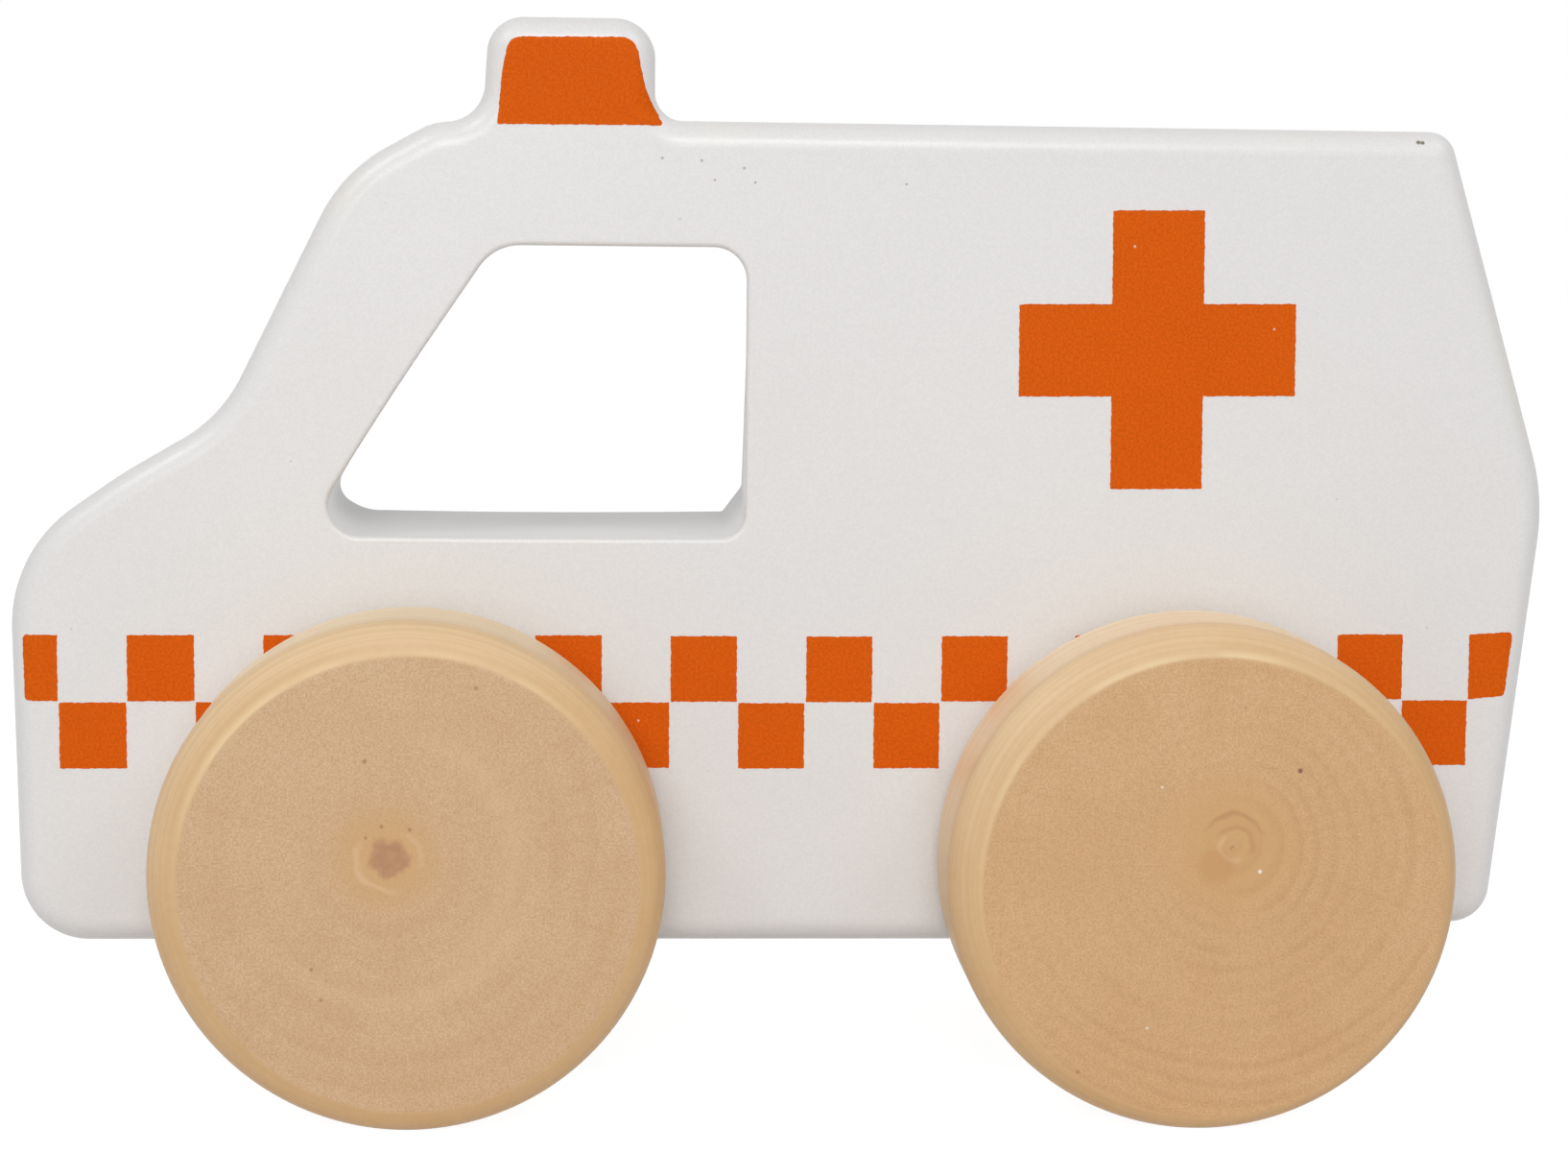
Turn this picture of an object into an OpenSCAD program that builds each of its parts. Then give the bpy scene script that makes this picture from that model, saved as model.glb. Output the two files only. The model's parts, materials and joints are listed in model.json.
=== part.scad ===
// Push-along wooden ambulance: a board body with a grip window, on two dowel axles with four turned wheels.
// Lengths along the body run from the nose corner towards the tail, heights from the ground.

/* [Body] */
// Length between the nose and tail corners before they are rounded
body_length = 154.4; // [148:0.2:162]
// Thickness of the board the body is cut from
body_thickness = 28; // [24:0.5:34]
// Radius routed along both edges of the outline
edge_radius = 2.5; // [1:0.1:3.2]
// Height of the underside
belly_height = 15.6; // [12:0.2:18]
// Height of the roof
roof_height = 98; // [97.6:0.2:104]

/* [Nose and bonnet] */
// How far the foot of the front edge stands back from the nose corner
toe_setback = 1; // [0:0.1:3]
// Radius at the foot of the front edge
toe_radius = 6.8; // [4:0.1:10]
// Height of the nose corner
nose_height = 54.7; // [50:0.1:57]
// Radius of the nose
nose_radius = 14.5; // [8:0.1:16]
// Distance from the nose to the crown of the bonnet
crown_run = 11.2; // [10.5:0.1:13]
// Height of the crown of the bonnet
crown_height = 62.6; // [61:0.1:63.4]
// Radius of the crown of the bonnet
crown_radius = 40; // [10:1:50]
// Distance from the nose to the foot of the windscreen
cowl_run = 21; // [19:0.1:23]
// Height of the foot of the windscreen
cowl_height = 68.3; // [67:0.1:70]
// Radius of the hollow at the foot of the windscreen
cowl_radius = 15; // [6:0.1:18]

/* [Cab roof] */
// Distance from the nose to the top of the windscreen
screen_top_run = 33.1; // [31:0.1:35]
// Height of the top of the windscreen
screen_top_height = 92.7; // [91:0.1:94]
// Radius at the top of the windscreen
screen_top_radius = 16; // [6:0.1:18]
// Distance from the nose to the front edge of the cab roof
cab_roof_run = 41.8; // [41:0.1:42.6]
// How far the front edge of the cab roof lies below the roof
cab_roof_drop = 0.5; // [0.2:0.1:1]
// Radius at the front edge of the cab roof
cab_roof_radius = 6; // [3:0.1:8]

/* [Beacon] */
// Distance from the nose to the beacon
beacon_run = 46.9; // [46.5:0.1:50]
// Length of the beacon
beacon_length = 17; // [14:0.1:20]
// Height of the beacon above the roof
beacon_height = 10; // [8:0.1:12]
// How far the front of the beacon leans back
beacon_lean = 0.6; // [0:0.1:1.5]
// Radius at the front top of the beacon
beacon_front_radius = 3.6; // [3.3:0.1:5]
// Radius at the rear top of the beacon
beacon_rear_radius = 4; // [3.3:0.1:5]
// Radius of the hollow at the front foot of the beacon
beacon_front_foot_radius = 3.9; // [1:0.1:4]
// Radius of the hollow at the rear foot of the beacon
beacon_rear_foot_radius = 2.8; // [1:0.1:4]

/* [Tail] */
// How far the roof stops short of the tail corner
tail_slope_run = 10.8; // [8:0.1:14]
// How far the rear end of the roof lies below the roof
roof_end_drop = 0.2; // [0:0.1:1]
// Radius at the rear end of the roof
roof_end_radius = 2.8; // [2.6:0.1:6]
// Height of the tail corner
tail_height = 61.2; // [55:0.1:68]
// Radius of the tail corner
tail_radius = 22; // [6:0.5:30]
// How far the foot of the tail stands in from the tail corner
tail_tuck = 4.8; // [2:0.1:8]
// How far the foot of the tail rises above the underside
tail_rise = 1.9; // [0.5:0.1:3]
// Radius at the foot of the tail
tail_foot_radius = 4; // [3.3:0.1:6]
// Distance from the nose to the place where the underside starts to rise
belly_break_run = 97; // [90:0.5:104]
// Radius where the underside starts to rise
belly_break_radius = 60; // [20:1:80]

/* [Window] */
// Distance from the nose to the lower front corner of the window, on the left face
window_low_run = 29.1; // [27:0.1:32]
// Distance from the nose to the upper front corner of the window, on the left face
window_high_run = 48.2; // [46:0.1:52]
// How far the slanted front edge stands further forward on the right face
window_front_splay = 0.9; // [0:0.1:1.5]
// Distance from the nose to the rear edge of the window, on the left face
window_back_run = 73.1; // [70:0.1:78]
// How far the rear edge stands further back on the right face, at the sill
window_sill_splay = 0.7; // [0:0.1:1.5]
// How far the rear edge stands further back on the right face, at the top
window_head_splay = 1.4; // [0:0.1:2]
// Height of the window sill
window_sill = 56.8; // [54:0.1:60]
// Height of the top edge of the window
window_head = 85.6; // [82:0.1:88]
// Radius of the lower front corner of the window
window_low_radius = 3.1; // [2:0.1:5]
// Radius of the upper front corner of the window
window_high_radius = 5; // [2:0.1:6]
// Radius of the rear sill corner of the window
window_sill_radius = 2.4; // [1.5:0.1:5]
// Radius of the upper rear corner of the window
window_back_radius = 3.3; // [2:0.1:5]
// How much larger the radius of the lower front corner is on the right face
window_low_growth = 1.1; // [0:0.1:3]
// How much larger the radius of the rear sill corner is on the right face
window_sill_growth = 1.7; // [0:0.1:3]
// Radius sanded along both edges of the window
window_edge_radius = 0.5; // [0.3:0.1:1.6]

/* [Wheels] */
// Diameter of a wheel
wheel_diameter = 50; // [44:0.5:54]
// Thickness of a wheel
wheel_thickness = 15; // [12:0.5:18]
// Radius turned on the outer edge of a wheel
wheel_outer_round = 3.2; // [1:0.1:4]
// Radius turned on the inner edge of a wheel
wheel_inner_round = 2.5; // [1:0.1:4]
// Running gap between a wheel and the body
wheel_gap = 0.8; // [0.5:0.05:1.5]

/* [Axles] */
// Distance from the nose to the front axle
front_axle_run = 40.2; // [36:0.1:44]
// Distance between the two axles
wheelbase = 77.4; // [72:0.1:82]
// Diameter of the axle dowels
axle_diameter = 8; // [6:0.5:10]
// Running clearance of a dowel in the body, on the radius
axle_clearance = 0.1; // [0.05:0.01:0.1]
// Depth of the blind hole in a wheel
socket_depth = 11; // [8:0.1:11]
// Glue space left at the bottom of that hole
glue_space = 0.5; // [0.2:0.1:1]
// Chamfer on the ends of a dowel
dowel_chamfer = 0.6; // [0.2:0.1:1]

/* [Hidden] */

// How far each cut runs past the face that it opens
overrun = 2;
// Facets of a full circle
round_facets = 96;
// Turn of the outline between two points on a corner, in degrees
corner_step = 7.5;
// Steps across the routed edge, across the sanded window edge and round a corner of the window
edge_steps = 5;
window_edge_steps = 3;
window_corner_steps = 14;

// Corners of the outline, each [run, height, radius], anticlockwise seen from the left side of the toy
outline_corners = [
    [toe_setback, belly_height, toe_radius],
    [belly_break_run, belly_height, belly_break_radius],
    [body_length - tail_tuck, belly_height + tail_rise, tail_foot_radius],
    [body_length, tail_height, tail_radius],
    [body_length - tail_slope_run, roof_height - roof_end_drop, roof_end_radius],
    [beacon_run + beacon_length, roof_height, beacon_rear_foot_radius],
    [beacon_run + beacon_length, roof_height + beacon_height, beacon_rear_radius],
    [beacon_run + beacon_lean, roof_height + beacon_height, beacon_front_radius],
    [beacon_run, roof_height, beacon_front_foot_radius],
    [cab_roof_run, roof_height - cab_roof_drop, cab_roof_radius],
    [screen_top_run, screen_top_height, screen_top_radius],
    [cowl_run, cowl_height, cowl_radius],
    [crown_run, crown_height, crown_radius],
    [0, nose_height, nose_radius],
];

// Corners of the window on the left face and on the right one
window_corners = [
    [window_low_run, window_sill, window_low_radius],
    [window_back_run, window_sill, window_sill_radius],
    [window_back_run, window_head, window_back_radius],
    [window_high_run, window_head, window_high_radius],
];
window_far_corners = [
    [window_low_run - window_front_splay, window_sill, window_low_radius + window_low_growth],
    [window_back_run + window_sill_splay, window_sill, window_sill_radius + window_sill_growth],
    [window_back_run + window_head_splay, window_head, window_back_radius],
    [window_high_run - window_front_splay, window_head, window_high_radius],
];

// Place of the toy's middle along the outline, so that it stands centred over the origin
outline = rounded(outline_corners);
outline_x = [for (p = outline) p[0][0]];
mid_run = (min(outline_x) + max(outline_x)) / 2;

axle_height = wheel_diameter / 2;
axle_runs = [front_axle_run, front_axle_run + wheelbase];
half_thickness = body_thickness / 2;
wheel_inset = half_thickness + wheel_gap;
axle_length = 2 * (wheel_inset + socket_depth - glue_space);
left = -1;
right = 1;

// A unit vector along v
function unit(v) = v / norm(v);

// Points round one corner, each [place, outward normal]: the arc of the corner's radius that touches
// both of its sides, bulging outwards at a convex corner and inwards at a hollow one, in as many steps
// as asked or else as its turn needs
function corner_arc(before, corner, after, asked) =
    let (
        way_in = unit([corner[0] - before[0], corner[1] - before[1]]),
        way_out = unit([after[0] - corner[0], after[1] - corner[1]]),
        turn = atan2(way_in[0] * way_out[1] - way_in[1] * way_out[0], way_in * way_out),
        bend = sign(turn),
        start = atan2(-way_in[0], way_in[1]),
        reach = corner[2] * tan(abs(turn) / 2),
        first_normal = [cos(start), sin(start)],
        centre = [corner[0], corner[1]] - reach * way_in - bend * corner[2] * first_normal,
        steps = is_undef(asked) ? max(2, ceil(abs(turn) / corner_step)) : asked
    )
    [for (i = [0 : steps])
        let (angle = start + turn * i / steps, normal = [cos(angle), sin(angle)])
        [centre + bend * corner[2] * normal, normal]];

// The whole rounded outline of a list of corners
function rounded(corners, asked) =
    let (n = len(corners))
    [for (i = [0 : n - 1])
        each corner_arc(corners[(i + n - 1) % n], corners[i], corners[(i + 1) % n], asked)];

// Layers of a board with a quarter round of the given radius on both faces, each [depth, inset]
function edge_layers(half, radius, steps) = concat(
    [for (i = [0 : steps])
        [-half + radius * (1 - cos(90 * i / steps)), radius * (1 - sin(90 * i / steps))]],
    [for (i = [steps : -1 : 0])
        [half - radius * (1 - cos(90 * i / steps)), radius * (1 - sin(90 * i / steps))]]);

// Layers of a cutter that leaves a quarter round of the given radius on both edges of its hole
function flare_layers(half, radius, steps) = concat(
    [[-half - overrun, -radius]],
    [for (i = [0 : steps])
        [-half + radius * (1 - sin(90 - 90 * i / steps)), -radius * (1 - cos(90 - 90 * i / steps))]],
    [for (i = [steps : -1 : 0])
        [half - radius * (1 - sin(90 - 90 * i / steps)), -radius * (1 - cos(90 - 90 * i / steps))]],
    [[half + overrun, -radius]]);

// A solid whose layers are an outline, inset along its normals: the first one left of the board's middle
// plane, the second one right of it. The caps are fans about a middle point that sees the whole outline.
module layered(points, far_points, layers, middle) {
    n = len(points);
    m = len(layers);
    rings = [for (layer = layers) each
        [for (p = layer[0] < 0 ? points : far_points)
            let (q = p[0] - layer[1] * p[1])
            [q[0] - mid_run, layer[0], q[1]]]];
    hubs = [
        [middle[0] - mid_run, layers[0][0], middle[1]],
        [middle[0] - mid_run, layers[m - 1][0], middle[1]],
    ];
    near_cap = [for (i = [0 : n - 1]) [n * m, (i + 1) % n, i]];
    far_cap = [for (i = [0 : n - 1]) [n * m + 1, n * (m - 1) + i, n * (m - 1) + (i + 1) % n]];
    walls = [for (j = [0 : m - 2], i = [0 : n - 1])
        let (a = n * j + i, b = n * j + (i + 1) % n)
        each [[a, b, b + n], [a, b + n, a + n]]];
    polyhedron(points = concat(rings, hubs), faces = concat(near_cap, far_cap, walls), convexity = 6);
}

// Along the board's depth at one axle: a cylinder centred in the board
module across(run, diameter, length) {
    translate([run - mid_run, 0, axle_height])
        rotate([90, 0, 0])
            cylinder(d = diameter, h = length, center = true, $fn = round_facets);
}

// Body: the painted board with its grip window and two axle holes
module body() {
    fan_point = [(window_low_run + window_back_run) / 2, (nose_height + window_sill) / 2 - edge_radius];
    window_middle = [(window_high_run + window_back_run) / 2, (window_sill + window_head) / 2];
    color([0.90, 0.89, 0.87])
        difference() {
            layered(outline, outline, edge_layers(half_thickness, edge_radius, edge_steps), fan_point);
            layered(rounded(window_corners, window_corner_steps),
                rounded(window_far_corners, window_corner_steps),
                flare_layers(half_thickness, window_edge_radius, window_edge_steps), window_middle);
            for (run = axle_runs)
                across(run, axle_diameter + 2 * axle_clearance, body_thickness + 2 * overrun);
        }
}

// Axle: a plain dowel with chamfered ends, free to turn in the body
module axle(run) {
    half = axle_length / 2;
    radius = axle_diameter / 2;
    color([0.86, 0.70, 0.50])
        translate([run - mid_run, 0, axle_height])
            rotate([90, 0, 0])
                rotate_extrude($fn = round_facets)
                    polygon([
                        [0, -half],
                        [radius - dowel_chamfer, -half],
                        [radius, -half + dowel_chamfer],
                        [radius, half - dowel_chamfer],
                        [radius - dowel_chamfer, half],
                        [0, half],
                    ]);
}

// Half section of a wheel from its axis outwards, inner face on the ground line, both rims rounded
module wheel_section() {
    radius = wheel_diameter / 2;
    flat = wheel_thickness - wheel_inner_round - wheel_outer_round;
    square([radius - wheel_inner_round, wheel_inner_round]);
    translate([0, wheel_inner_round])
        square([radius, flat]);
    translate([0, wheel_thickness - wheel_outer_round])
        square([radius - wheel_outer_round, wheel_outer_round]);
    translate([radius - wheel_inner_round, wheel_inner_round])
        circle(r = wheel_inner_round, $fn = round_facets);
    translate([radius - wheel_outer_round, wheel_thickness - wheel_outer_round])
        circle(r = wheel_outer_round, $fn = round_facets);
}

// Wheel: turned from a branch slice, with a blind hole for the dowel on its inner face
module wheel(run, side) {
    color([0.83, 0.68, 0.50])
        translate([run - mid_run, side * wheel_inset, axle_height])
            rotate([side * -90, 0, 0])
                difference() {
                    rotate_extrude($fn = round_facets)
                        wheel_section();
                    translate([0, 0, -overrun])
                        cylinder(d = axle_diameter, h = socket_depth + overrun, $fn = round_facets);
                }
}

body();
axle(axle_runs[0]);  // front_axle
axle(axle_runs[1]);  // rear_axle
wheel(axle_runs[0], left);  // front_left_wheel
wheel(axle_runs[0], right);  // front_right_wheel
wheel(axle_runs[1], left);  // rear_left_wheel
wheel(axle_runs[1], right);  // rear_right_wheel
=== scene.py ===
"""Looks of a push-along wooden ambulance.

A painted board body with a grip window, orange prints on both faces, and four turned end-grain wheels on
dowel axles. Lengths in the classes are in millimetres: x from nose to tail, y to the toy's right-hand side,
z up from the ground. Meshes are written in metres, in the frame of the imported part.
"""

import json
import logging
import math
from dataclasses import dataclass, field
from enum import Enum
from typing import Mapping, Sequence, Union

import bpy
import numpy as np
from mathutils import Matrix, Vector
from mathutils.geometry import delaunay_2d_cdt


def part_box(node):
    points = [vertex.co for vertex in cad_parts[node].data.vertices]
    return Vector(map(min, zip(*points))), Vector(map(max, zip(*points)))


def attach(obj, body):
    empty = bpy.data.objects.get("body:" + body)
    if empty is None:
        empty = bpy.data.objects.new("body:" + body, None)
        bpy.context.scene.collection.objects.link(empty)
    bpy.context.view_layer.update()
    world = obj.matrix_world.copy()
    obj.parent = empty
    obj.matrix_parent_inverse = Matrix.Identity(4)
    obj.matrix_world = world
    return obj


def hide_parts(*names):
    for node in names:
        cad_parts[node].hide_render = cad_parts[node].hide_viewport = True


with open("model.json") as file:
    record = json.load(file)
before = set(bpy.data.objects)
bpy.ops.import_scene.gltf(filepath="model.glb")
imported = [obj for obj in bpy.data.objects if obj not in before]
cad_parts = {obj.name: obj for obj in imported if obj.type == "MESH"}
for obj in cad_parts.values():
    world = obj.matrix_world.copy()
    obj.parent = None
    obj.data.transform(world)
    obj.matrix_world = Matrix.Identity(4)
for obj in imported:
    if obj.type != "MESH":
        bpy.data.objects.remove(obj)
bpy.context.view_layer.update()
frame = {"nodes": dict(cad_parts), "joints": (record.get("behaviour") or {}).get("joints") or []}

MM = 0.001
LOG = logging.getLogger("ambulance")

Colour = tuple[float, float, float, float]
Triple = tuple[float, float, float]


def srgb(red: int, green: int, blue: int) -> Colour:
    """Turn 8-bit display levels into a linear colour.

    Args:
        red: Red level from 0 to 255.
        green: Green level from 0 to 255.
        blue: Blue level from 0 to 255.

    Returns:
        The linear colour with full alpha, by the usual display curve.
    """
    levels = np.array((red, green, blue)) / 255
    linear = np.where(levels <= 0.04045, levels / 12.92, ((levels + 0.055) / 1.055) ** 2.4)
    return (*linear.tolist(), 1.0)


def ease(values: np.ndarray, low: float, high: float) -> np.ndarray:
    """Smooth step: 0 below low, 1 above high, and the cubic 3t^2 - 2t^3 between them."""
    share = np.clip((values - low) / (high - low), 0, 1)
    return share * share * (3 - 2 * share)


class Side(Enum):
    """The two faces of the board, as the sign of y."""

    LEFT = -1
    RIGHT = 1


# Outlines in the plane of the board


@dataclass(frozen=True)
class Corner:
    """A corner of an outline, x along the board and z up, with the radius that rounds it."""

    x: float
    z: float
    radius: float

    def turned(self, tilt: float, about: "Corner") -> "Corner":
        """Turn the corner anticlockwise, seen from the left side.

        Args:
            tilt: Angle in degrees.
            about: The place that stays where it is.

        Returns:
            The turned corner.
        """
        sine, cosine = math.sin(math.radians(tilt)), math.cos(math.radians(tilt))
        x, z = self.x - about.x, self.z - about.z
        return Corner(about.x + x * cosine - z * sine, about.z + x * sine + z * cosine, self.radius)


@dataclass(frozen=True)
class Loop:
    """A closed outline as arrays of places and outward normals, anticlockwise seen from the left side."""

    places: np.ndarray
    normals: np.ndarray

    @staticmethod
    def rounded(
        corners: Sequence[Corner], arc_step: float, side_step: float, steps: Sequence[int] = ()
    ) -> "Loop":
        """Round the corners of a polygon.

        Each corner becomes the arc of its radius that touches both of its sides: the arc starts and ends
        radius * tan(turn / 2) from the corner, and bulges outwards where the outline turns left and inwards
        where it turns right. The straight stretch to the next arc is cut in equal steps.

        Args:
            corners: The corners, anticlockwise.
            arc_step: Largest turn between two points of an arc, in degrees.
            side_step: Largest distance between two points of a straight stretch.
            steps: Number of steps of every arc, then of the stretch after each corner, where they are fixed.

        Returns:
            The rounded outline.
        """
        tips = np.array([(c.x, c.z) for c in corners])
        radii = np.array([c.radius for c in corners])
        way_out = np.roll(tips, -1, axis=0) - tips
        way_out /= np.linalg.norm(way_out, axis=1, keepdims=True)
        way_in = np.roll(way_out, 1, axis=0)
        turns = np.arctan2(
            way_in[:, 0] * way_out[:, 1] - way_in[:, 1] * way_out[:, 0], np.sum(way_in * way_out, axis=1)
        )
        starts = np.arctan2(-way_in[:, 0], way_in[:, 1])
        reach = radii * np.tan(np.abs(turns) / 2)
        bulge = np.sign(turns) * radii
        first = np.stack([np.cos(starts), np.sin(starts)], axis=1)
        centres = tips - reach[:, None] * way_in - bulge[:, None] * first
        arcs = []
        for start, turn, centre, out in zip(starts, turns, centres, bulge):
            count = steps[0] if steps else max(2, math.ceil(abs(math.degrees(turn)) / arc_step))
            angles = start + turn * np.linspace(0, 1, count + 1)
            normals = np.stack([np.cos(angles), np.sin(angles)], axis=1)
            arcs.append((centre + out * normals, normals))
        places, normals = [], []
        for number, (arc, arc_normals) in enumerate(arcs, 1):
            gap = arcs[number % len(arcs)][0][0] - arc[-1]
            count = steps[number] if steps else max(1, math.ceil(np.linalg.norm(gap) / side_step))
            shares = np.linspace(0, 1, count + 1)[1:-1]
            places += [arc, arc[-1] + shares[:, None] * gap]
            normals += [arc_normals, np.repeat(arc_normals[-1:], len(shares), axis=0)]
        return Loop(np.concatenate(places), np.concatenate(normals))

    @staticmethod
    def circle(x: float, z: float, radius: float, count: int) -> "Loop":
        """A circle as equal steps of angle.

        Args:
            x: Place of its centre along the board.
            z: Height of its centre.
            radius: Its radius.
            count: Number of points.

        Returns:
            The circle as an outline.
        """
        angles = np.linspace(0, 2 * math.pi, count, endpoint=False)
        normals = np.stack([np.cos(angles), np.sin(angles)], axis=1)
        return Loop(np.array((x, z)) + radius * normals, normals)

    def moved_out(self, distance: np.ndarray) -> "Loop":
        """The outline with each point moved out along its normal by its own distance."""
        return Loop(self.places + distance[:, None] * self.normals, self.normals)

    def holds(self, places: np.ndarray) -> np.ndarray:
        """Tell which places lie inside, by counting how often a ray towards +x crosses the outline.

        Args:
            places: The places to test, one per row.

        Returns:
            True for each place inside.
        """
        first, second = self.places, np.roll(self.places, -1, axis=0)
        rise = np.where(second[:, 1] == first[:, 1], 1.0, second[:, 1] - first[:, 1])
        spans = (first[:, 1] > places[:, 1:]) != (second[:, 1] > places[:, 1:])
        meets = first[:, 0] + (places[:, 1:] - first[:, 1]) / rise * (second[:, 0] - first[:, 0])
        return np.sum(spans & (places[:, :1] < meets), axis=1) % 2 == 1


# Meshes


@dataclass
class MeshDraft:
    """The vertices and faces of one piece, collected block by block in millimetres."""

    points: list[np.ndarray] = field(default_factory=list)
    faces: list[np.ndarray] = field(default_factory=list)
    edges: list[np.ndarray] = field(default_factory=list)
    insides: list[np.ndarray] = field(default_factory=list)
    count: int = 0

    def add_points(
        self,
        points: np.ndarray,
        edge: Union[np.ndarray, float] = 0.0,
        inside: Union[np.ndarray, float] = 0.0,
    ) -> np.ndarray:
        """Add a block of vertices.

        Args:
            points: The vertices, with x, y, z along the last axis.
            edge: How far each vertex lies on a rounded edge, from 0 to 1.
            inside: 1 for each vertex inside a cut, else 0.

        Returns:
            The vertices' numbers, in the shape of the block.
        """
        shape = points.shape[:-1]
        numbers = self.count + np.arange(math.prod(shape)).reshape(shape)
        self.points.append(points.reshape(-1, 3))
        self.edges.append(np.broadcast_to(edge, shape).reshape(-1))
        self.insides.append(np.broadcast_to(inside, shape).reshape(-1))
        self.count += numbers.size
        return numbers

    def add_grid(self, numbers: np.ndarray, flip: bool = False) -> None:
        """Add the quads of a grid that closes on itself along its first direction.

        Args:
            numbers: Vertex numbers of the grid, two-dimensional.
            flip: Turn the faces round.
        """
        ahead = np.roll(numbers, -1, axis=0)
        quads = np.stack([numbers[:, :-1], numbers[:, 1:], ahead[:, 1:], ahead[:, :-1]], axis=-1)
        self.add_faces(quads.reshape(-1, 4), flip)

    def add_fan(self, ring: np.ndarray, hub: int, flip: bool = False) -> None:
        """Close a ring with triangles to one hub vertex.

        Args:
            ring: Vertex numbers of the closed ring.
            hub: Number of the hub vertex.
            flip: Turn the faces round.
        """
        self.add_faces(np.stack([ring, np.full_like(ring, hub), np.roll(ring, -1)], axis=-1), flip)

    def add_faces(self, faces: np.ndarray, flip: bool = False) -> None:
        """Add faces given by their vertex numbers, turned round if asked."""
        self.faces.append(faces[:, ::-1] if flip else faces)

    def build(self, name: str, material: bpy.types.Material, crease: float) -> bpy.types.Object:
        """Make the object, smooth shaded with sharp creases.

        Args:
            name: Name of the piece.
            material: Its finish.
            crease: Angle between faces, in degrees, above which an edge stays sharp.

        Returns:
            The object, at the origin.
        """
        mesh = bpy.data.meshes.new(name)
        faces = [face for block in self.faces for face in block.tolist()]
        mesh.from_pydata(np.concatenate(self.points) * MM, [], faces)
        for label, blocks in (("edge", self.edges), ("inside", self.insides)):
            shares = np.concatenate(blocks)
            if shares.any():
                attribute = mesh.attributes.new(label, "FLOAT", "POINT")
                attribute.data.foreach_set("value", shares.astype(np.float32))
        mesh.shade_smooth()
        mesh.set_sharp_from_angle(angle=math.radians(crease))
        mesh.materials.append(material)
        piece = bpy.data.objects.new(name, mesh)
        bpy.context.scene.collection.objects.link(piece)
        LOG.info("%s: %d vertices, %d faces", name, len(mesh.vertices), len(mesh.polygons))
        return piece


# Shader expressions


class Value:
    """One socket of a shader. Arithmetic on it adds Math nodes."""

    def __init__(self, shader: "Shader", socket: bpy.types.NodeSocket) -> None:
        """Wrap an output socket of the shader's tree."""
        self.shader = shader
        self.socket = socket

    def _math(self, operation: str, *operands: "Operand") -> "Value":
        """Add one Math node."""
        return self.shader.node("ShaderNodeMath", {"operation": operation}, dict(enumerate(operands)))

    def __add__(self, other: "Operand") -> "Value":
        """Sum."""
        return self._math("ADD", self, other)

    __radd__ = __add__

    def __sub__(self, other: "Operand") -> "Value":
        """Difference."""
        return self._math("SUBTRACT", self, other)

    def __rsub__(self, other: "Operand") -> "Value":
        """Difference from a number."""
        return self._math("SUBTRACT", other, self)

    def __mul__(self, other: "Operand") -> "Value":
        """Product."""
        return self._math("MULTIPLY", self, other)

    __rmul__ = __mul__

    def __truediv__(self, other: "Operand") -> "Value":
        """Quotient."""
        return self._math("DIVIDE", self, other)

    def __abs__(self) -> "Value":
        """Size without sign."""
        return self._math("ABSOLUTE", self)

    def fraction(self) -> "Value":
        """What is left above the next lower whole number."""
        return self._math("FRACT", self)

    def whole(self) -> "Value":
        """The next lower whole number."""
        return self._math("FLOOR", self)

    def cosine(self) -> "Value":
        """Cosine of an angle in radians."""
        return self._math("COSINE", self)

    def larger(self, other: "Operand") -> "Value":
        """The larger of two values."""
        return self._math("MAXIMUM", self, other)

    def eased(self, low: float, high: float) -> "Value":
        """Smooth step, by the cubic 3t^2 - 2t^3.

        Args:
            low: Where it is 0.
            high: Where it is 1. It may be the smaller of the two, which turns the step round.

        Returns:
            The step, from 0 to 1.
        """
        settings = {"interpolation_type": "SMOOTHSTEP"}
        if low < high:
            return self.shader.node("ShaderNodeMapRange", settings, {0: self, 1: low, 2: high})
        return 1 - self.shader.node("ShaderNodeMapRange", settings, {0: self, 1: high, 2: low})


Operand = Union[Value, float]
Paint = Union[Value, Colour]


@dataclass(frozen=True)
class Speck:
    """A small round mark on a surface: its centre and radius."""

    x: float
    y: float
    z: float
    radius: float


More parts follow.
